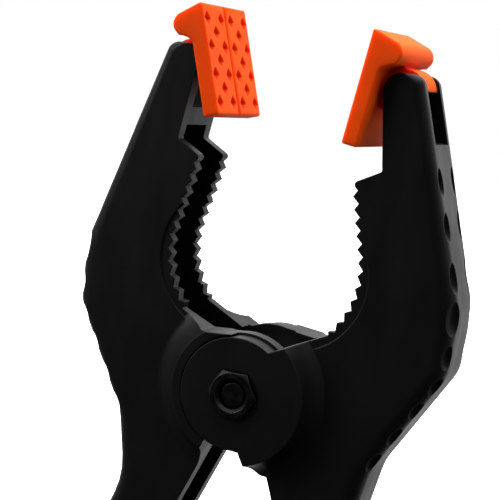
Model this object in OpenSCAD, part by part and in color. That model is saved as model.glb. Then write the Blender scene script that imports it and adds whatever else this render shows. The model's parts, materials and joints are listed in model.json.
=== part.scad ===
// Spring clamp with swivelling soft pads.
// The pivot axis is Y and passes through the origin. Jaws point to +Z, handles to -Z.
// The near side is -Y. Both arms are one moulding: the left arm is the right arm turned half round Z.

/* [Arms] */
// Overall width of an arm across its two side walls
arm_w = 13.5; // [12.5:0.1:15]
// Thickness of each side wall
wall_t = 2.4; // [2:0.1:2.6]
// Thickness of the back web
web_t = 2.5; // [2:0.1:3]
// Distance of the tip bar from the middle plane between the arms
tip_pin_x = 19.9; // [19.5:0.1:20.5]
// Height of the tip bar above the pivot
tip_pin_z = 56; // [55.5:0.1:56.5]
// Radius of the rounded tip
tip_r = 3; // [2.6:0.1:3]
// Diameter of the moulded bar that the pad turns on
tip_bar_d = 4; // [3.6:0.1:4]
// Width of the slot between the two tip walls
tip_slot_w = 8; // [7.8:0.1:8.4]
// Distance from the pivot down to the end of the handles
handle_end_z = 85.6; // [80:1:90]

/* [Teeth] */
// Number of teeth on each jaw
teeth = 13; // [9:1:15]
// Depth of a tooth
tooth_depth = 0.9; // [0.5:0.1:1.1]
// Radius of the round part of the jaw
throat_r = 15.26; // [15:0.02:15.6]
// Radius of the shallow round recess beside the teeth
rim_recess_r = 13.6; // [13:0.1:14]
// Depth of that recess
rim_recess_depth = 0.3; // [0.1:0.1:0.5]

/* [Pivot] */
// Radius of the outer lug, the round disc
disc_r = 10; // [9.8:0.05:10]
// Distance of the disc's outer face from the middle plane
disc_out = 11.7; // [11.5:0.1:12]
// Distance of the disc's inner face from the middle plane
disc_in = 8; // [7.95:0.01:8.2]
// Radius of the inner lug
lug_r = 10.4; // [10.2:0.05:10.4]
// Distance of the inner lug's outer face from the middle plane
lug_out = 7.8; // [7.6:0.05:7.8]
// Distance of the inner lug's inner face from the middle plane
lug_in = 5.3; // [5.3:0.05:5.5]
// Radius of the pocket that the disc turns in
pocket_r = 10.35; // [10.3:0.01:10.4]
// Radius of the space that the inner lug turns in
lug_space_r = 10.8; // [10.75:0.05:10.9]
// Height of the raised rim around the pocket, from the middle plane
rim_out = 11.3; // [11:0.1:11.5]

/* [Fasteners] */
// Diameter of the pivot bolt
bolt_d = 5; // [4.8:0.1:5]
// Size of the nut and of the bolt head across their flats
hex_flats = 8; // [7.5:0.1:8]
// Height of the nut
nut_h = 2.7; // [2.4:0.1:2.9]
// Height of the bolt head
head_h = 3.4; // [2.5:0.1:3.5]
// Distance of the hex pocket's floor from the middle plane
hex_floor = 10; // [9.8:0.1:10]
// Outer diameter of the sleeve inside the spring
sleeve_d = 8.4; // [7.6:0.1:8.6]

/* [Spring] */
// Wire diameter
wire_d = 1.8; // [1.5:0.1:1.8]
// Mean radius of the coil
coil_r = 5.5; // [5.4:0.05:5.8]
// Pitch of the coil along the pivot
coil_pitch = 1.86; // [1.84:0.01:1.88]
// Length of each straight leg
leg_l = 33; // [20:1:34]

/* [Pads] */
// Width of a pad
pad_w = 19.8; // [18:0.1:21]
// Length of a pad's face above the pin
pad_above = 8.9; // [8.5:0.1:9.2]
// Length of a pad's face below the pin
pad_below = 11; // [9:0.1:11.2]
// Distance from the pin to the pad's face
pad_face = 6.2; // [6.1:0.1:6.4]
// Thickness of the pad's plate
pad_t = 2.85; // [2.6:0.05:2.9]
// Tilt of the right pad's face, top outward, in degrees
right_pad_tilt = 7.9; // [4:0.1:12]
// Tilt of the left pad's face, top outward, in degrees
left_pad_tilt = 17.8; // [12:0.1:20]

/* [Hidden] */

plastic_color = [0.10, 0.10, 0.11];
pad_color = [0.95, 0.30, 0.08];
steel_color = [0.16, 0.16, 0.17];
spring_color = [0.62, 0.62, 0.64];
sleeve_color = [0.75, 0.74, 0.70];

$fn = 96;
far_out = 60;              // further than anything reaches
join = 0.1;                // overlap of shapes that grow together
fine_r = 0.6;              // smaller corner radii than this are made of three flats
half_w = arm_w / 2;
wall_in = half_w - wall_t;
bore_play = 0.06;          // radial play of a running fit
hex_play = 0.1;            // play around the nut and the bolt head

// Jaw tip and step, in the plane of the arm: X outward, Z up
step_low = [14.24, 39.4];   // first tooth
step_high = [19.2, 42.1];   // inner end of the step
throat_c = [2.25, 23.4];    // centre of the round part of the jaw
last_tooth_angle = -41.3;   // where the teeth end on the round part

// Handle: its inner edge is a straight line
handle_top = [5.07, -10.9];
handle_slope = 0.4;         // outward per unit down
function handle_edge(z) = [handle_top[0] + handle_slope * (handle_top[1] - z), z];
handle_low = handle_edge(-handle_end_z);
handle_end_w = 9.5;         // depth of the handle at its end
handle_lean = atan(handle_slope);

// Corners of the outer edge from the tip down, each [x, z, rounding radius]
outer_corners = [
    [23.4, tip_pin_z + tip_r, 2.2],
    [35.6, 20.6, 12],
    [35.2, 9.3, 7],
    [24.5, -9.4, 8],
    [22.2, -21, 14],
    [handle_low[0] + handle_end_w * cos(handle_lean), handle_low[1] + handle_end_w * sin(handle_lean), 4],
];

// Recess beside the teeth
rim_recess_c = [6.06, 22.15];

// Ledges between the two tip walls
rib_low = 44.5;
rib_high = 47.8;

// Raised hub: radii where its slope starts and ends, on the disc side and on the pocket side
disc_hub_top_r = 12.7;
disc_hub_foot_r = 15.2;
rim_top_r = 12;
rim_foot_r = 17;
slope_bow = 0.4;            // how hollow the slope is: 0 is straight, 1 is a full fillet
slope_steps = 6;
hub_sink = 1;

// ---- outline functions ----

function unit(v) = v / norm(v);

// Points of one polygon corner b rounded to radius r between neighbours a and c
function round_corner(a, b, c, r) =
    r <= 0 ? [b] :
    let (u = unit(a - b), v = unit(c - b),
         half = acos(u * v) / 2,
         centre = b + unit(u + v) * r / sin(half),
         p = b + u * r / tan(half), q = b + v * r / tan(half),
         from = atan2(p[1] - centre[1], p[0] - centre[0]),
         to = atan2(q[1] - centre[1], q[0] - centre[0]),
         turn = to - from > 180 ? to - from - 360 : to - from < -180 ? to - from + 360 : to - from,
         n = max(2, ceil(abs(turn) / (r < fine_r ? 30 : 12))))
    [for (i = [0:n]) centre + r * [cos(from + turn * i / n), sin(from + turn * i / n)]];

function xy(c) = [c[0], c[1]];

// A closed outline with every corner [x, z, r] rounded
function rounded(corners) =
    let (n = len(corners))
    [for (i = [0:n - 1]) each round_corner(xy(corners[(i + n - 1) % n]), xy(corners[i]),
                                          xy(corners[(i + 1) % n]), corners[i][2])];

// The jaw's line of tooth tips: straight from the step, then round the throat
to_centre = norm(step_low - throat_c);
straight_l = sqrt(to_centre * to_centre - throat_r * throat_r);
step_angle = atan2(step_low[1] - throat_c[1], step_low[0] - throat_c[0]);
tangent_angle = step_angle - acos(throat_r / to_centre);
straight_dir = [sin(tangent_angle), -cos(tangent_angle)];
throat_l = throat_r * (tangent_angle - last_tooth_angle) * PI / 180;
tooth_pitch = (straight_l + throat_l) / (teeth - 1);
valley_at = 0.6;            // where the valley lies between two tips

function jaw_angle(s) = tangent_angle - max(0, s - straight_l) / throat_r * 180 / PI;
function jaw_line(s, depth) =
    let (a = jaw_angle(s), out = [cos(a), sin(a)])
    (s < straight_l ? step_low + s * straight_dir : throat_c + throat_r * out) + depth * out;

// Tooth points from the last tooth up to the first
tooth_points = [for (i = [teeth - 1:-1:0])
    each (i == teeth - 1 ? [jaw_line(i * tooth_pitch, 0)]
          : [jaw_line((i + valley_at) * tooth_pitch, tooth_depth), jaw_line(i * tooth_pitch, 0)])];

// The same points with their radii: only the first tooth is blunt
first_tooth_r = 0.7;
jaw_corners = [for (p = tooth_points) [p[0], p[1], p == step_low ? first_tooth_r : 0]];

// Inner tip edge, from the step up to the tip
tip_corners = [[step_high[0], step_high[1], 0.5],
               [tip_pin_x - tip_r - 0.15, tip_pin_z + tip_r, tip_r]];
handle_corner = [[handle_low[0], handle_low[1], 3]];

// Side wall that carries the inner lug
lug_wall = rounded(concat(
    tip_corners, outer_corners, handle_corner,
    [[4.2, -8.7, 0], [0, 0, 0], [2, 10.2, 0], [8.2, 9.6, 2], [14, 12, 0.3]],
    jaw_corners));

// Side wall that carries the disc, with the stop below it
stop_corners = [[6.5, -14.5, 0.3], [5, -14.4, 0.7], [2.3, -10, 0]];
disc_wall = rounded(concat(
    tip_corners, outer_corners, handle_corner, stop_corners,
    [[0, -9.9, 0], [0, 0, 0], [5.35, 8.45, 0], [14, 12.7, 0.3]],
    jaw_corners));

// The channel: everything between the walls inside the back web, below the ledge
outer_edge = rounded(concat([[tip_pin_x - far_out, tip_pin_z + tip_r, 0]], outer_corners,
                            [[handle_low[0], handle_low[1], 0], [-far_out, handle_low[1], 0]]));
function inset(points, i, d) =
    let (t = unit(points[i + 1] - points[i - 1])) points[i] + d * [t[1], -t[0]];
web_inside = [for (i = [1:len(outer_edge) - 3]) if (outer_edge[i][0] > 0)
              let (p = inset(outer_edge, i, web_t)) if (p[1] > web_t - handle_end_z && p[1] < rib_low) p];
// Where the ledge's underside meets the web, behind the straight outer edge above the shoulder
upper_run = xy(outer_corners[1]) - xy(outer_corners[0]);
rib_back = outer_corners[0][0] + upper_run[0] * (rib_low - outer_corners[0][1]) / upper_run[1]
           + web_t * norm(upper_run) / upper_run[1];
channel = concat([[-far_out, rib_low], [rib_back, rib_low]], web_inside,
                 [[-far_out, web_inside[len(web_inside) - 1][1]]]);

// ---- building blocks ----

// Extrude a shape drawn in X and Z between two distances from the middle plane; positive is the near side
module slab(from, to) {
    rotate([90, 0, 0]) translate([0, 0, from]) linear_extrude(to - from) children();
}

// A solid of revolution about the pivot axis, profile drawn as radius and distance from the middle plane
module about_pivot() {
    rotate([90, 0, 0]) rotate_extrude() children();
}

module near_cylinder(r, from, to) {
    rotate([90, 0, 0]) translate([0, 0, from]) cylinder(r = r, h = to - from);
}

// Hub profile with a hollow slope from top_r down to foot_r; its base is sunk into the wall
function hub_profile(top_r, foot_r, top, foot) =
    let (rim = [top_r, top], toe = [foot_r, foot],
         bend = (1 - slope_bow) * (rim + toe) / 2 + slope_bow * [top_r, foot])
    concat([[0, foot - hub_sink], [0, top]],
           [for (t = [0:1 / slope_steps:1]) (1 - t) * (1 - t) * rim + 2 * t * (1 - t) * bend + t * t * toe],
           [[foot_r, foot - hub_sink]]);

// Everything of the arm that lies in its plain channel shape
module channel_arm() {
    difference() {
        union() {
            slab(wall_in, half_w) polygon(disc_wall);
            slab(-half_w, -wall_in) polygon(lug_wall);
            slab(-wall_in - join, wall_in + join) difference() {
                polygon(lug_wall);
                polygon(channel);
            }
        }
        // slot between the tip walls
        slab(-tip_slot_w / 2, tip_slot_w / 2)
            translate([tip_pin_x - far_out / 2, rib_high]) square(far_out);
        // shallow round recess beside the teeth, on both side faces
        for (side = [-1, 1])
            slab(side > 0 ? half_w - rim_recess_depth : -far_out,
                 side > 0 ? far_out : rim_recess_depth - half_w)
                translate(rim_recess_c) circle(rim_recess_r);
    }
    // bar across the tip
    slab(-wall_in - join, wall_in + join) translate([tip_pin_x, tip_pin_z]) circle(d = tip_bar_d);
}

// Raised hub and disc on the near side
module disc_hub() {
    intersection() {
        about_pivot() polygon(hub_profile(disc_hub_top_r, disc_hub_foot_r, disc_out, half_w));
        slab(0, far_out) union() {
            polygon(disc_wall);
            circle(disc_r);
        }
    }
}

// Raised rim and inner lug on the far side
module pocket_hub() {
    intersection() {
        rotate([180, 0, 0]) about_pivot() polygon(hub_profile(rim_top_r, rim_foot_r, rim_out, half_w));
        slab(-far_out, 0) polygon(lug_wall);
    }
    near_cylinder(lug_r, -lug_out, -lug_in);
}

module arm() {
    difference() {
        union() {
            channel_arm();
            disc_hub();
            pocket_hub();
        }
        near_cylinder(lug_space_r, -lug_in, disc_in);
        near_cylinder(pocket_r, -far_out, -lug_out);
        near_cylinder(bolt_d / 2 + bore_play, -far_out, far_out);
        rotate([90, 0, 0]) translate([0, 0, hex_floor])
            cylinder(d = (hex_flats + 2 * hex_play) / cos(30), h = far_out, $fn = 6);
    }
}

module right_arm() { color(plastic_color) arm(); }
module left_arm() { color(plastic_color) rotate([0, 0, 180]) arm(); }

// ---- pads ----

hook_r = 3.8;               // outside of the hook around the bar
hook_end = 0.9;             // height of the hook's outer end above the pin
hook_w = 7.6;               // width of the hook
hook_base = 0.5;            // how deep the hook's root is sunk into the plate
mouth_w = 7.5;              // width of the opening that snaps over the bar
mouth_angle = 100;          // of the mouth's lower lip, measured from the pad's back
saddle_r = 4.1;             // hollow under the roof
groove_w = 1.4;
groove_depth = 0.45;
pad_back = pad_t - pad_face;

// Cross-section of the pad along its whole width, pin at the origin, face towards -X
pad_outline = rounded([
    [-pad_face, -pad_below, 0.4], [-pad_face, pad_above, 0.4],
    [-0.9, pad_above - 1.4, 2.2], [0.1, pad_above - 3.2, 1.8],
    [-1.2, 3.5, 0], [pad_back, 1.6, 0], [pad_back, -pad_below, 0.4]]);

// A round of flats, because the soft pad needs no true cylinder outside its bore
module flat_round(r) { polygon([for (a = [7.5:15:352.5]) r * [cos(a), sin(a)]]); }

module hook_outline() {
    difference() {
        union() {
            flat_round(hook_r);
            translate([pad_back - hook_base, -hook_r]) square([-pad_back, 2 * hook_r]);
            // joins the hook to the roof over it
            intersection() {
                flat_round(saddle_r + join);
                polygon(pad_outline);
            }
        }
        circle(tip_bar_d / 2 + bore_play);
        rotate(-mouth_angle) square([far_out, mouth_w]);
        translate([0, hook_end - far_out]) square(far_out);
        translate([pad_back - hook_base - far_out, -far_out / 2]) square(far_out);
    }
}

module pad() {
    difference() {
        union() {
            slab(-pad_w / 2, pad_w / 2) difference() {
                polygon(pad_outline);
                intersection() {
                    flat_round(saddle_r / cos(7.5));
                    translate([pad_back, -far_out / 2]) square(far_out);
                }
            }
            slab(-hook_w / 2, hook_w / 2) hook_outline();
        }
        // groove down the middle of the face
        translate([-pad_face, 0, 0]) linear_extrude(4 * far_out, center = true)
            polygon([[-groove_depth, -groove_w], [-groove_depth, groove_w], [groove_depth, 0]]);
    }
}

module on_tip(tilt) { translate([tip_pin_x, 0, tip_pin_z]) rotate([0, tilt, 0]) children(); }
module right_pad() { color(pad_color) on_tip(right_pad_tilt) pad(); }
module left_pad() { color(pad_color) rotate([0, 0, 180]) on_tip(left_pad_tilt) pad(); }

// ---- pivot ----

bolt_end = hex_floor + nut_h - 0.8;     // the bolt ends a little inside the nut
bolt_chamfer = 0.5;
hex_corner_r = hex_flats / 2 / cos(30);
hex_chamfer = 0.5;                      // height of the turned-off corners
thread_sink = 0.55;                     // countersink around the nut's hole

// Hexagon with its outer corners turned off, from z 0 to h
module hex_body(h) {
    intersection() {
        cylinder(r = hex_corner_r, h = h, $fn = 6);
        union() {
            cylinder(r = hex_flats, h = h - hex_chamfer);
            translate([0, 0, h - hex_chamfer])
                cylinder(r1 = hex_corner_r, r2 = hex_flats / 2 - bore_play, h = hex_chamfer);
        }
    }
}

module pivot_nut() {
    color(steel_color) rotate([90, 0, 0]) translate([0, 0, hex_floor]) difference() {
        hex_body(nut_h);
        translate([0, 0, -join]) cylinder(r = bolt_d / 2 + bore_play, h = nut_h + 2 * join);
        translate([0, 0, nut_h - thread_sink])
            cylinder(r1 = bolt_d / 2, r2 = bolt_d / 2 + thread_sink + join, h = thread_sink + join);
    }
}

module pivot_bolt() {
    color(steel_color) {
        near_cylinder(bolt_d / 2, -hex_floor, bolt_end - bolt_chamfer);
        rotate([90, 0, 0]) translate([0, 0, bolt_end - bolt_chamfer])
            cylinder(r1 = bolt_d / 2, r2 = bolt_d / 2 - bolt_chamfer, h = bolt_chamfer);
        rotate([-90, 0, 0]) translate([0, 0, hex_floor]) hex_body(head_h);
    }
}

module spring_sleeve() {
    sleeve_end = lug_in - 0.1;
    color(sleeve_color) difference() {
        near_cylinder(sleeve_d / 2, -sleeve_end, sleeve_end);
        near_cylinder(bolt_d / 2 + 2 * bore_play, -far_out, far_out);
    }
}

// ---- spring ----

full_turns = 3;
ring_per_turn = 20;
wire_sides = 10;
leg_angle = 28;             // of each leg from straight down
// The coil runs from the right leg's tangent point round to the left leg's
coil_sweep = 360 * full_turns + 180 - 2 * leg_angle;
coil_rings = ceil(ring_per_turn * coil_sweep / 360);
coil_half = coil_pitch * coil_sweep / 720;
function coil_point(i) =
    let (a = leg_angle + coil_sweep * i / coil_rings)
    [coil_r * cos(a), -coil_half + 2 * coil_half * i / coil_rings, coil_r * sin(a)];
right_leg = leg_l * [sin(leg_angle), 0, -cos(leg_angle)];
left_leg = leg_l * [-sin(leg_angle), 0, -cos(leg_angle)];
spring_path = concat(
    [coil_point(0) + right_leg, coil_point(0) + right_leg / 2],
    [for (i = [0:coil_rings]) coil_point(i)],
    [coil_point(coil_rings) + left_leg / 2, coil_point(coil_rings) + left_leg]);

function path_dir(p, i) = unit(p[min(i + 1, len(p) - 1)] - p[max(i - 1, 0)]);
function ring(p, i, r, n) =
    let (t = path_dir(p, i), side = unit(cross(t, [0, 1, 0])), up = cross(side, t))
    [for (k = [0:n - 1]) p[i] + r * (cos(360 * k / n) * side + sin(360 * k / n) * up)];

module tube(p, r, n) {
    last = len(p) - 1;
    polyhedron(
        points = [for (i = [0:last]) each ring(p, i, r, n)],
        faces = concat(
            [[for (k = [0:n - 1]) k]],
            [for (i = [0:last - 1], k = [0:n - 1])
                [i * n + k, (i + 1) * n + k, (i + 1) * n + (k + 1) % n, i * n + (k + 1) % n]],
            [[for (k = [n - 1:-1:0]) last * n + k]]));
}

module torsion_spring() { color(spring_color) tube(spring_path, wire_d / 2, wire_sides); }

left_arm();
right_arm();
left_pad();
right_pad();
pivot_bolt();
pivot_nut();
spring_sleeve();
torsion_spring();
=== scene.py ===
"""Spring clamp: the looks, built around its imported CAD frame.

Metres, in the CAD part's own frame: the pivot axis is Y, the jaws point to +Z and the near side is -Y.
Both arms are one moulding. The left arm is the right one turned half round Z, so code that says
"arm frame" works in the right arm's place and `side` (+1 right, -1 left) turns it over.
"""
import json
import math

import bmesh
import bpy
from mathutils import Matrix, Vector


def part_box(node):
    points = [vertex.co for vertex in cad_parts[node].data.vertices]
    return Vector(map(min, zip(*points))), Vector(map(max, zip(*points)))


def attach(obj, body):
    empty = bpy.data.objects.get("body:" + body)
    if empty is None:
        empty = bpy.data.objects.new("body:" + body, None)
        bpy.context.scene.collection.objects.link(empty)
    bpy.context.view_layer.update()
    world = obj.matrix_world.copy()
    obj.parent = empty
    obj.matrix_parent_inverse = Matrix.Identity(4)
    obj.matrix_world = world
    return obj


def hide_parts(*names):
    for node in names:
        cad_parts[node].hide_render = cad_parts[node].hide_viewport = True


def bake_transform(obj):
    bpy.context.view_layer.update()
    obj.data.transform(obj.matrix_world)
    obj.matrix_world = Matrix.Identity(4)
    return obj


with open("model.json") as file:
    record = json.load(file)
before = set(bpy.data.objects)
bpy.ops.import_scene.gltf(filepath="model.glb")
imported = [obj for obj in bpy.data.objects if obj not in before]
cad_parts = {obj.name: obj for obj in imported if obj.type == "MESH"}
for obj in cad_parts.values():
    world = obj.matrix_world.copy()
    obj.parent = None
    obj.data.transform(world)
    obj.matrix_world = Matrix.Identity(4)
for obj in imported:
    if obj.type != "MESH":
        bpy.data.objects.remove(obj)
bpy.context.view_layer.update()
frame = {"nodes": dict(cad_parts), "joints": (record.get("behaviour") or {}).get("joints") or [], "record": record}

MM = 0.001
MERGE = 0.002 * MM             # points nearer than this are one point
ON_FACE = 0.02 * MM            # points nearer a face's plane than this lie on it
FLAT_DEG = 0.4                 # faces that turn less than this are one flat face
CREASE_DEG = 32                # edges that turn less than this aren't bevelled
record = frame["record"]
joint_at = {j["name"]: Vector(j["pos_m"]) for j in frame["joints"]}
mounts = {m["name"]: m for m in record["mounts"]}


# ---------------------------------------------------------------- meshes

def clean_mesh(node):
    """A bmesh of a CAD node with doubled points merged and its flat faces made whole."""
    bm = bmesh.new()
    bm.from_mesh(frame["nodes"][node].data)
    bmesh.ops.remove_doubles(bm, verts=bm.verts, dist=MERGE)
    bmesh.ops.dissolve_limit(bm, angle_limit=math.radians(FLAT_DEG), verts=bm.verts, edges=bm.edges)
    return bm


def object_from(bm, name):
    """A new object that holds the bmesh, without the CAD mesh's own shading."""
    mesh = bpy.data.meshes.new(name)
    bm.to_mesh(mesh)
    bm.free()
    for layer in ("custom_normal", "sharp_edge", "sharp_face"):
        if layer in mesh.attributes:
            mesh.attributes.remove(mesh.attributes[layer])
    obj = bpy.data.objects.new(name, mesh)
    bpy.context.scene.collection.objects.link(obj)
    return obj


def bake_modifiers(obj):
    """Puts the result of the object's modifiers in its mesh."""
    graph = bpy.context.evaluated_depsgraph_get()
    mesh = bpy.data.meshes.new_from_object(obj.evaluated_get(graph))
    mesh.name = obj.name
    obj.modifiers.clear()
    obj.data = mesh


def bevel(bm, name, width, segments, wanted):
    """An object from the bmesh with its creases bevelled, where wanted(edge) says so."""
    layer = bm.edges.layers.float.new("bevel_weight_edge")
    for edge in bm.edges:
        if edge.calc_face_angle(0) > math.radians(CREASE_DEG) and wanted(edge):
            edge[layer] = 1.0
    obj = object_from(bm, name)
    modifier = obj.modifiers.new("bevel", "BEVEL")
    modifier.limit_method = "WEIGHT"
    modifier.width = width
    modifier.segments = segments
    modifier.use_clamp_overlap = False
    modifier.loop_slide = False
    bake_modifiers(obj)
    return obj


def cut(obj, cutter):
    """Takes the cutter's volume out of the object and deletes the cutter."""
    modifier = obj.modifiers.new("cut", "BOOLEAN")
    modifier.operation = "DIFFERENCE"
    modifier.solver = "MANIFOLD"
    modifier.object = cutter
    bake_modifiers(obj)
    bpy.data.objects.remove(cutter)


def smooth_shading(obj, sharp_deg=40):
    """Smooth faces with sharp creases, and normals that keep large flat faces flat."""
    mesh = obj.data
    mesh.polygons.foreach_set("use_smooth", [True] * len(mesh.polygons))
    mesh.set_sharp_from_angle(angle=math.radians(sharp_deg))
    modifier = obj.modifiers.new("flat_faces", "WEIGHTED_NORMAL")
    modifier.keep_sharp = True
    modifier.weight = 80           # large faces count for more than small ones


def finish_piece(obj, material, body, slot, *nodes):
    """Gives a piece its material and body, and hides the CAD nodes it stands for. The slot is not used."""
    obj.data.materials.clear()
    obj.data.materials.append(material)
    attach(obj, body)
    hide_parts(*nodes)


def smoothstep(low, high, value):
    """0 at low, 1 at high and eased between; low may be the larger of the two."""
    t = min(1, max(0, (value - low) / (high - low)))
    return t * t * (3 - 2 * t)


# ---------------------------------------------------------------- materials

def new_material(name):
    """A node material: (material, node maker, link maker, Principled shader)."""
    material = bpy.data.materials.new(name)
    material.use_nodes = True
    tree = material.node_tree
    shader = tree.nodes["Principled BSDF"]

    def node(kind, **values):
        made = tree.nodes.new(kind)
        for key, value in values.items():
            if key in made.inputs:
                made.inputs[key].default_value = value
            else:
                setattr(made, key, value)
        return made

    return material, node, tree.links.new, shader


def noise(node, link, scale, detail, stretch=(1, 1, 1)):
    """Noise in the object's own metres; scale is in cells per metre."""
    place = node("ShaderNodeTexCoord")
    mapping = node("ShaderNodeMapping", Scale=stretch)
    texture = node("ShaderNodeTexNoise", Scale=scale, Detail=detail, Roughness=0.55)
    link(place.outputs["Object"], mapping.inputs["Vector"])
    link(mapping.outputs["Vector"], texture.inputs["Vector"])
    return texture.outputs["Fac"]


def ramp(node, link, fac, *stops):
    """A colour ramp; each stop is (position, colour or grey)."""
    made = node("ShaderNodeValToRGB")
    elements = made.color_ramp.elements
    while len(elements) < len(stops):
        elements.new(0.5)
    for element, (position, value) in zip(elements, stops):
        element.position = position
        element.color = (*value, 1) if isinstance(value, tuple) else (value, value, value, 1)
    link(fac, made.inputs["Fac"])
    return made.outputs["Color"]


def bump(node, link, height, distance, strength, normal):
    """The normal bumped by a height from 0 to 1, which is worth this distance in metres."""
    made = node("ShaderNodeBump", Strength=strength, Distance=distance)
    link(height, made.inputs["Height"])
    link(normal, made.inputs["Normal"])
    return made.outputs["Normal"]


def soft_edges(node, link, radius):
    """(normal with the edges rounded over, 1 on those edges and 0 on flat faces)."""
    soft = node("ShaderNodeBevel", Radius=radius, samples=6)
    geometry = node("ShaderNodeNewGeometry")
    dot = node("ShaderNodeVectorMath", operation="DOT_PRODUCT")
    link(soft.outputs["Normal"], dot.inputs[0])
    link(geometry.outputs["Normal"], dot.inputs[1])
    return soft.outputs["Normal"], ramp(node, link, dot.outputs["Value"], (0.80, 1.0), (0.985, 0.0))


def hollow_shade(node, link, reach):
    """1 in narrow hollows, for painted shade that turns the colour darker and redder between the walls, and 0 in
    the open.
    """
    occlusion = node("ShaderNodeAmbientOcclusion", Distance=reach, samples=8)
    return ramp(node, link, occlusion.outputs["AO"], (0.70, 1.0), (0.97, 0.0))


def mix_colour(node, link, fac, a, b):
    """Colour a where fac is 0 and b where it is 1; each is a plain colour or a node's output."""
    made = node("ShaderNodeMix", data_type="RGBA")
    link(fac, made.inputs[0])
    for socket, value in ((made.inputs[6], a), (made.inputs[7], b)):    # the sockets for colours
        if isinstance(value, tuple):
            socket.default_value = (*value, 1)
        else:
            link(value, socket)
    return made.outputs[2]


def arm_plastic():
    """Black glass-filled nylon: satin, with a fine moulded grain, faint flow marks and edges painted paler."""
    material, node, link, shader = new_material("arm_plastic")
    cloud = noise(node, link, 70, 4)
    grain = noise(node, link, 4200, 2)
    flow = noise(node, link, 260, 3, stretch=(1, 1, 0.25))
    body = ramp(node, link, cloud, (0.35, (0.0028, 0.0034, 0.0030)), (0.70, (0.0044, 0.0052, 0.0044)))
    rounded, edge_wear_and_sheen = soft_edges(node, link, 0.3 * MM)
    # the edges are painted paler than the faces
    colour = mix_colour(node, link, edge_wear_and_sheen, body, (0.012, 0.013, 0.012))
    link(colour, shader.inputs["Base Color"])
    link(ramp(node, link, flow, (0.3, 0.36), (0.7, 0.47)), shader.inputs["Roughness"])
    shader.inputs["Specular IOR Level"].default_value = 0.1
    fine = bump(node, link, grain, 0.03 * MM, 0.35, rounded)
    link(bump(node, link, flow, 0.12 * MM, 0.5, fine), shader.inputs["Normal"])
    return material


def pad_rubber():
    """Soft orange elastomer: slightly translucent, with painted shade that turns its hollows darker and redder,
    painted highlights on its edges and a dull skin.
    """
    material, node, link, shader = new_material("pad_rubber")
    cloud = noise(node, link, 160, 3)
    grain = noise(node, link, 3000, 2)
    body = ramp(node, link, cloud, (0.3, (0.71, 0.066, 0.0005)), (0.7, (0.77, 0.082, 0.001)))
    rounded, edge_wear_and_sheen = soft_edges(node, link, 0.6 * MM)
    # painted highlight: the pad's edges are painted a brighter orange, as if lit through the rubber
    edged = mix_colour(node, link, edge_wear_and_sheen, body, (0.86, 0.09, 0.005))
    # painted shade: the pad's hollows and dimples are painted darker and redder
    colour = mix_colour(node, link, hollow_shade(node, link, 1.2 * MM), edged, (0.66, 0.024, 0.0005))
    link(colour, shader.inputs["Base Color"])
    shader.inputs["Subsurface Weight"].default_value = 0.85
    shader.inputs["Subsurface Radius"].default_value = (1.0, 0.12, 0.01)
    shader.inputs["Subsurface Scale"].default_value = 3 * MM
    shader.inputs["Specular IOR Level"].default_value = 0.06
    link(ramp(node, link, cloud, (0.3, 0.58), (0.7, 0.68)), shader.inputs["Roughness"])
    link(bump(node, link, grain, 0.03 * MM, 0.3, rounded), shader.inputs["Normal"])
    return material


def metal(name, dark, light, roughness, worn=(0.3, 0.3, 0.3)):
    """Metal with a cloudy tone between two greys and edges rubbed paler."""
    material, node, link, shader = new_material(name)
    tone = noise(node, link, 500, 4)
    body = ramp(node, link, tone, (0.3, dark), (0.7, light))
    rounded, edge_wear_and_sheen = soft_edges(node, link, 0.2 * MM)
    link(mix_colour(node, link, edge_wear_and_sheen, body, worn), shader.inputs["Base Color"])
    shader.inputs["Metallic"].default_value = 1.0
    link(ramp(node, link, tone, (0.3, roughness), (0.7, roughness + 0.12)), shader.inputs["Roughness"])
    scratches = noise(node, link, 3500, 2)
    link(bump(node, link, scratches, 0.02 * MM, 0.4, rounded), shader.inputs["Normal"])
    return material


def sleeve_plastic():
    """Natural nylon: milky and slightly translucent, with lathe rings from its cut to length."""
    material, node, link, shader = new_material("sleeve_plastic")
    cloud = noise(node, link, 300, 3)
    rings = noise(node, link, 900, 2, stretch=(0.1, 3, 0.1))
    body = ramp(node, link, cloud, (0.3, (0.50, 0.48, 0.42)), (0.7, (0.62, 0.60, 0.54)))
    link(body, shader.inputs["Base Color"])
    shader.inputs["Subsurface Weight"].default_value = 0.3
    shader.inputs["Subsurface Radius"].default_value = (1.0, 0.9, 0.7)
    shader.inputs["Subsurface Scale"].default_value = 1 * MM
    link(ramp(node, link, rings, (0.3, 0.35), (0.7, 0.5)), shader.inputs["Roughness"])
    rounded, _ = soft_edges(node, link, 0.2 * MM)
    link(bump(node, link, rings, 0.03 * MM, 0.5, rounded), shader.inputs["Normal"])
    return material


# ---------------------------------------------------------------- arms

BACK_ROUND = 2.8 * MM          # radius of the moulded back corners
TIP_SHARE = 0.62               # share of it that is left along the slim tip
TIP_START = 16 * MM            # distance under the top where it starts to shrink to that
TIP_FULL = 9 * MM              # distance under the top where it has
TOP_SHARE = 0.15               # share of what is left there that remains over the tip's top
TOP_WIDTH = 2 * MM             # it shrinks to that within this width
TIP_BACK_X = 22.5 * MM         # where the tip's top turns down into the back
TIP_TURN = 2.0 * MM            # the tip's round top reaches this far down
WALL_ZONE = 10 * MM            # the walls' half width is measured this near the top
HUB_REACH = 17 * MM            # edges nearer the pivot than this belong to the hub
RIM_LEAN = 0.02                # how far a rim face's normal may lean along Y
FACING = 0.3                   # a normal with more than this of a direction faces that way
SPARE = 1.0 * MM               # how far a cutter stands clear of the surface
ARC_STEPS = 8                  # straight steps in a back corner's quarter turn

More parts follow.
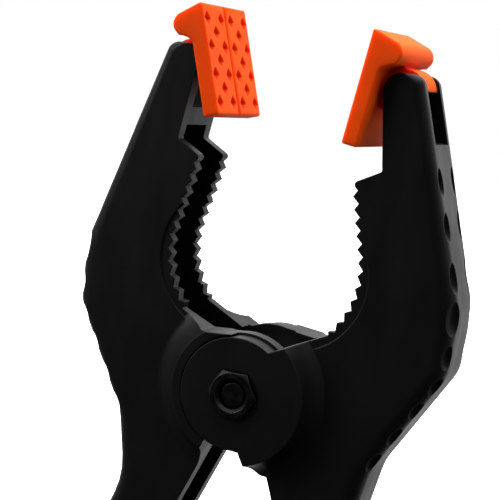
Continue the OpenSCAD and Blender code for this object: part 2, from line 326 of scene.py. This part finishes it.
# Grip scallops on the back corners, in mm: distance down the outer edge from the tip, half length,
# half width and depth, and the degrees by which each leans from the back towards the side face
SCALLOPS = (
    (18.4, 2.6, 1.30, 1.3, 2),
    (26.1, 2.7, 1.35, 1.3, 3),
    (34.8, 2.9, 1.45, 1.3, 8),
    (41.6, 3.4, 2.05, 1.2, 28),
    (48.4, 2.3, 1.45, 1.0, 28),
    (54.0, 2.0, 1.30, 0.9, 28),
    (59.6, 2.0, 1.30, 0.9, 28),
    (65.6, 2.1, 1.30, 0.9, 28),
    (71.6, 2.1, 1.30, 0.9, 28),
)
SCALLOP_REACH = 1.5            # half the cutting ellipsoid's height, in scallop depths


def arm_side(node):
    """+1 for the right arm and -1 for the left."""
    low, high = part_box(node)
    return 1 if high.x > -low.x else -1


def outer_edge(bm, side, half_w, top):
    """Points (x, z) of the arm's outer edge in the arm frame, over the tip and down to the handle's end."""
    over_tip, down_back = set(), set()
    for edge in bm.edges:
        middle = (edge.verts[0].co + edge.verts[1].co) / 2
        normal = min((face.normal for face in edge.link_faces), key=lambda n: abs(n.y))
        if abs(middle.y * side - half_w) > ON_FACE or abs(normal.y) > RIM_LEAN:
            continue
        points = {(round(v.co.x * side, 6), round(v.co.z, 6)) for v in edge.verts}
        if middle.z > top - TIP_TURN and normal.z > FACING:
            over_tip |= points
        elif normal.x * side > FACING and math.hypot(middle.x, middle.z) > HUB_REACH:
            down_back |= points
    path = sorted(over_tip) + sorted(down_back - over_tip, key=lambda point: -point[1])
    return [Vector(point) for point in path]


def along(path, distance):
    """Point and direction at a distance down a path of (x, z) points, from the tip's back corner."""
    path = [p for p in path if p.x > TIP_BACK_X]
    for a, b in zip(path, path[1:]):
        step = (b - a).length
        if distance <= step:
            return a.lerp(b, distance / step), (b - a).normalized()
        distance -= step
    return path[-1], (path[-1] - path[-2]).normalized()


def back_radius(point, top):
    """Radius of the back corners at an (x, z) point: less on the slim tip, and least over its top."""
    slim = smoothstep(top - TIP_START, top - TIP_FULL, point.y)
    over = smoothstep(TIP_BACK_X, TIP_BACK_X - TOP_WIDTH, point.x)
    return BACK_ROUND * (1 - (1 - TIP_SHARE) * slim) * (1 - (1 - TOP_SHARE) * over)


def miters(path):
    """For each point of an (x, z) path, the vector that offsets it outward by one unit."""
    outs = []
    for a, b in zip(path, path[1:]):
        step = (b - a).normalized()
        outs.append(Vector((-step.y, step.x)))
    return [outs[0]] + [(m + n) / (1 + m.dot(n)) for m, n in zip(outs, outs[1:])] + [outs[-1]]


def corner_cutter(path, side, half_w, top):
    """Sweeps along both back corners of an arm: what lies outside their rounding."""
    bm = bmesh.new()
    start = path[0] + (path[0] - path[1]).normalized() * SPARE
    end = path[-1] + (path[-1] - path[-2]).normalized() * SPARE
    points = [start, *path[1:-1], end]
    for y_side in (-1, 1):
        rings = []
        for point, out in zip(points, miters(points)):
            r = back_radius(point, top)
            turns = [math.pi / 2 * k / ARC_STEPS for k in range(ARC_STEPS + 1)]
            section = [(r * (math.cos(t) - 1), half_w - r * (1 - math.sin(t))) for t in turns]
            section += [(-r, half_w + SPARE), (SPARE, half_w + SPARE), (SPARE, half_w - r)]
            ring = []
            for outward, y in section:
                x, z = point.x + out.x * outward, point.y + out.y * outward
                ring.append(bm.verts.new((x * side, y * y_side * side, z)))
            rings.append(ring)
        for ring, following in zip(rings, rings[1:]):
            for k in range(len(ring)):
                j = (k + 1) % len(ring)
                bm.faces.new((ring[k], ring[j], following[j], following[k]))
        bm.faces.new(rings[0])
        bm.faces.new(rings[-1])
    bmesh.ops.triangulate(bm, faces=bm.faces)
    bmesh.ops.recalc_face_normals(bm, faces=bm.faces)
    return object_from(bm, "corner_cutter")


def scallop_cutter(path, side, half_w, first):
    """Ellipsoids that cut every other grip scallop out of both back corners."""
    bm = bmesh.new()
    for index in range(first, len(SCALLOPS), 2):
        *sizes, lean_deg = SCALLOPS[index]
        distance, half_length, half_width, depth = (size * MM for size in sizes)
        lean = math.radians(lean_deg)
        reach = SCALLOP_REACH * depth
        point, direction = along(path, distance)
        tangent = Vector((direction.x, 0, direction.y))
        out = Vector((-direction.y, 0, direction.x))
        for y_side in (-1, 1):
            sideways = Vector((0, y_side, 0))
            corner = Vector((point.x, 0, point.y)) - out * BACK_ROUND + sideways * (half_w - BACK_ROUND)
            leaning = out * math.cos(lean) + sideways * math.sin(lean)
            centre = corner + leaning * (BACK_ROUND + reach - depth)
            across = tangent.cross(leaning)
            axes = Matrix((tangent * half_length, across * half_width, leaning * reach)).transposed()
            place = Matrix.Translation(centre) @ axes.to_4x4()
            if side < 0:
                place = Matrix.Rotation(math.pi, 4, "Z") @ place
            bmesh.ops.create_icosphere(bm, subdivisions=4, radius=1, matrix=place)
    bmesh.ops.recalc_face_normals(bm, faces=bm.faces)
    return object_from(bm, "scallop_cutter")


def make_arm(node, name, body, material):
    """The CAD arm with its back corners rounded and its grip scallops cut."""
    side = arm_side(node)
    bm = clean_mesh(node)
    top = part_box(node)[1].z
    half_w = max(abs(v.co.y) for v in bm.verts if v.co.z > top - WALL_ZONE)
    path = outer_edge(bm, side, half_w, top)
    arm = object_from(bm, name)
    cut(arm, corner_cutter(path, side, half_w, top))
    for first in (0, 1):
        cut(arm, scallop_cutter(path, side, half_w, first))
    smooth_shading(arm)
    finish_piece(arm, material, body, "arm_plastic", node)


# ---------------------------------------------------------------- pads

PAD_ROUND = 0.35 * MM                   # radius of the edges round a pad's two sides
PAD_ROUND_STEPS = 3
PAD_SLOT_Y = 4.2 * MM                   # an edge with an end nearer the middle plane stays sharp
DIMPLE_COLUMNS = (2.2, 5.1, 8.1)        # distances from the middle of the groove, mm
STAGGERED_COLUMN = 1                    # sits half a pitch lower and has one row fewer
DIMPLE_ROWS = 4
DIMPLE_PITCH = 4.95 * MM                # from row to row
DIMPLE_TOP = 2.3 * MM                   # from the top of the face to the first row
DIMPLE_HALF_L = 1.35 * MM               # half of a dimple's opening up the face
DIMPLE_HALF_W = 1.4 * MM                # and across it
DIMPLE_DEPTH = 0.65 * MM
DIMPLE_FLOOR = 0.6                      # share of the opening that the flat bottom has
DIMPLE_SPARE = 0.2 * MM                 # how far the pegs that cut them stand out of the face


def dimple_cutter(mount, hinge, node):
    """Four-sided pegs that press diamond dimples into a pad's face."""
    out = Vector(mount["axis"]).normalized()
    across = Vector((0, 1, 0))
    up = out.cross(across)
    up = up if up.z > 0 else -up
    face = Vector(mount["pos_m"])
    heights = [(v.co - hinge).dot(up) for v in frame["nodes"][node].data.vertices
               if abs((v.co - face).dot(out)) < ON_FACE]
    top = max(heights)
    origin = hinge + out * (face - hinge).dot(out)
    tall, wide = up * DIMPLE_HALF_L, across * DIMPLE_HALF_W
    corners = (tall, wide, -tall, -wide)
    grow = 1 + (1 - DIMPLE_FLOOR) * DIMPLE_SPARE / DIMPLE_DEPTH   # the pegs taper on out of the face
    bm = bmesh.new()
    for side in (-1, 1):
        for column, distance in enumerate(DIMPLE_COLUMNS):
            staggered = column == STAGGERED_COLUMN
            for row in range(DIMPLE_ROWS - 1 if staggered else DIMPLE_ROWS):
                height = top - DIMPLE_TOP - DIMPLE_PITCH * (row + (0.5 if staggered else 0))
                centre = origin + across * side * distance * MM + up * height
                mouth = [bm.verts.new(centre + out * DIMPLE_SPARE + c * grow) for c in corners]
                bottom = [bm.verts.new(centre - out * DIMPLE_DEPTH + c * DIMPLE_FLOOR) for c in corners]
                bm.faces.new(mouth)
                bm.faces.new(bottom)
                for k in range(4):
                    j = (k + 1) % 4
                    bm.faces.new((mouth[k], mouth[j], bottom[j], bottom[k]))
    bmesh.ops.recalc_face_normals(bm, faces=bm.faces)
    return object_from(bm, "dimple_cutter")


def clear_of_slot(edge):
    """True if neither end of the edge is at the pad's hook or groove."""
    return min(abs(v.co.y) for v in edge.verts) > PAD_SLOT_Y


def make_pad(node, name, body, joint, mount, material):
    """The CAD pad with the edges of its two sides rounded and the dimples pressed into its face."""
    pad = bevel(clean_mesh(node), name, PAD_ROUND, PAD_ROUND_STEPS, clear_of_slot)
    cut(pad, dimple_cutter(mounts[mount], joint_at[joint], node))
    smooth_shading(pad, sharp_deg=35)
    finish_piece(pad, material, body, "pad_rubber", node)


# ---------------------------------------------------------------- pivot

JOIN_ANGLE = 3                  # radians, nearly half a turn: any two triangles may be joined


def make_fastener(node, name, body, material):
    """The CAD nut or bolt in its own shape, shaded and with its material."""
    piece = object_from(clean_mesh(node), name)
    smooth_shading(piece, sharp_deg=30)
    finish_piece(piece, material, body, "black_steel", node)


def make_spring(material):
    """The CAD coil with its facets smoothed."""
    bm = bmesh.new()
    bm.from_mesh(frame["nodes"]["torsion_spring"].data)
    bmesh.ops.remove_doubles(bm, verts=bm.verts, dist=MERGE)
    bmesh.ops.join_triangles(
        bm, faces=bm.faces, angle_face_threshold=JOIN_ANGLE, angle_shape_threshold=JOIN_ANGLE
    )
    spring = object_from(bm, "spring_coil")
    rounding = spring.modifiers.new("rounding", "SUBSURF")
    rounding.levels = rounding.render_levels = 1
    bake_modifiers(spring)
    spring.data.polygons.foreach_set("use_smooth", [True] * len(spring.data.polygons))
    spring.data.materials.append(material)
    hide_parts("torsion_spring")
    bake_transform(spring)


# ---------------------------------------------------------------- camera, floor and light

CAMERA_AT = (92.81, -249.61, 59.22)    # mm
CAMERA_LENS = 108.1             # focal length in mm, on a sensor 36 mm wide
CAMERA_TURN_DEG = 21.43         # to the left, seen from above
CAMERA_DOWN_DEG = 7.52
CAMERA_ROLL_DEG = 7.99
FLOOR_SIZE = 4                  # m
FLOOR_GAP = 0.6 * MM            # from the circle on which the handles' ends swing
BRIGHT_SIDE = (0, 0.77, 0.64)   # where most of the studio's light comes from
WORLD_FADE = (-0.5, 0.9)        # cosines of the angle from there, between which the light rises
WORLD_LIGHT = (0.12, 1.5)       # its strength at those two


def make_camera():
    """Looks down the near side from the right, at the photograph's angle and roll."""
    data = bpy.data.cameras.new("camera")
    data.sensor_width = 36
    data.lens = CAMERA_LENS
    data.clip_start = 0.01
    camera = bpy.data.objects.new("camera", data)
    camera.matrix_world = (
        Matrix.Translation(Vector(CAMERA_AT) * MM)
        @ Matrix.Rotation(math.radians(CAMERA_TURN_DEG), 4, "Z")
        @ Matrix.Rotation(math.radians(90 - CAMERA_DOWN_DEG), 4, "X")
        @ Matrix.Rotation(math.radians(CAMERA_ROLL_DEG), 4, "Z")
    )
    bpy.context.scene.collection.objects.link(camera)
    bpy.context.scene.camera = camera


def make_floor():
    """Plain pale floor, just under the circle on which the handles' ends swing."""
    pivot = joint_at["jaw_pivot"]
    arms = (frame["nodes"][node] for node in ("left_arm", "right_arm"))
    points = (v.co - pivot for arm in arms for v in arm.data.vertices)
    reach = max(math.hypot(point.x, point.z) for point in points)
    bpy.ops.mesh.primitive_plane_add(size=FLOOR_SIZE, location=(0, 0, pivot.z - reach - FLOOR_GAP))
    floor = bpy.context.object
    floor.name = "floor"
    material, node, link, shader = new_material("floor")
    mottle = noise(node, link, 12, 3)
    link(ramp(node, link, mottle, (0.3, 0.90), (0.7, 0.93)), shader.inputs["Base Color"])
    shader.inputs["Roughness"].default_value = 0.9
    shader.inputs["Specular IOR Level"].default_value = 0.1
    shader.inputs["Emission Color"].default_value = (1, 1, 1, 1)
    shader.inputs["Emission Strength"].default_value = 0.35
    floor.data.materials.append(material)
    floor.visible_glossy = False    # the clamp neither reflects it nor is lit by it
    floor.visible_diffuse = False


def area_light(name, location, target, size, watts):
    """A rectangular softbox that faces its target."""
    data = bpy.data.lights.new(name, "AREA")
    data.shape = "RECTANGLE"
    data.size, data.size_y = size
    data.energy = watts
    light = bpy.data.objects.new(name, data)
    light.location = location
    light.rotation_euler = (Vector(target) - Vector(location)).to_track_quat("-Z", "Y").to_euler()
    bpy.context.scene.collection.objects.link(light)


def make_world():
    """Studio light, bright behind and above and dim below and on the near side, before plain white."""
    world = bpy.data.worlds.new("studio")
    bpy.context.scene.world = world
    world.use_nodes = True
    nodes, link = world.node_tree.nodes, world.node_tree.links.new
    background = nodes["Background"]
    direction = nodes.new("ShaderNodeTexCoord")
    towards = nodes.new("ShaderNodeVectorMath")
    towards.operation = "DOT_PRODUCT"
    towards.inputs[1].default_value = BRIGHT_SIDE
    link(direction.outputs["Generated"], towards.inputs[0])
    fade = nodes.new("ShaderNodeMapRange")
    fade.inputs["From Min"].default_value, fade.inputs["From Max"].default_value = WORLD_FADE
    fade.inputs["To Min"].default_value, fade.inputs["To Max"].default_value = WORLD_LIGHT
    fade.interpolation_type = "SMOOTHSTEP"
    link(towards.outputs["Value"], fade.inputs["Value"])
    path = nodes.new("ShaderNodeLightPath")
    seen = nodes.new("ShaderNodeMix")       # what is seen past the clamp is white, whatever it lights
    seen.inputs[3].default_value = 1.0
    link(path.outputs["Is Camera Ray"], seen.inputs[0])
    link(fade.outputs["Result"], seen.inputs[2])
    link(seen.outputs[0], background.inputs["Strength"])
    background.inputs["Color"].default_value = (1, 1, 1, 1)


def make_stage():
    """Camera, floor and light."""
    make_camera()
    make_floor()
    make_world()
    area_light("top_softbox", location=(0, 0.3, 1.2), target=(0, 0.3, 0), size=(1.6, 1.6), watts=36)
    area_light("left_softbox", location=(-0.5, -0.35, 0.3), target=(0, 0, 0.02), size=(0.4, 0.4), watts=3.4)
    bpy.context.scene.view_settings.view_transform = "Standard"


# ---------------------------------------------------------------- build

make_stage()

plastic = arm_plastic()
rubber = pad_rubber()
black_steel = metal(
    "black_steel",
    dark=(0.007, 0.007, 0.007), light=(0.018, 0.018, 0.018), roughness=0.34, worn=(0.1, 0.1, 0.1),
)
wire_steel = metal("spring_steel", dark=(0.34, 0.34, 0.35), light=(0.50, 0.50, 0.51), roughness=0.26)

make_arm("left_arm", "left_arm_shell", "left_jaw", plastic)
make_arm("right_arm", "right_arm_shell", "right_jaw", plastic)
make_pad("left_pad", "left_pad_soft", "left_swivel", "left_pad_swivel", "left_pad_face", rubber)
make_pad("right_pad", "right_pad_soft", "right_swivel", "right_pad_swivel", "right_pad_face", rubber)
make_fastener("pivot_nut", "hex_nut", "right_jaw", black_steel)
make_fastener("pivot_bolt", "hex_bolt", "left_jaw", black_steel)
frame["nodes"]["spring_sleeve"].data.materials[0] = sleeve_plastic()
make_spring(wire_steel)
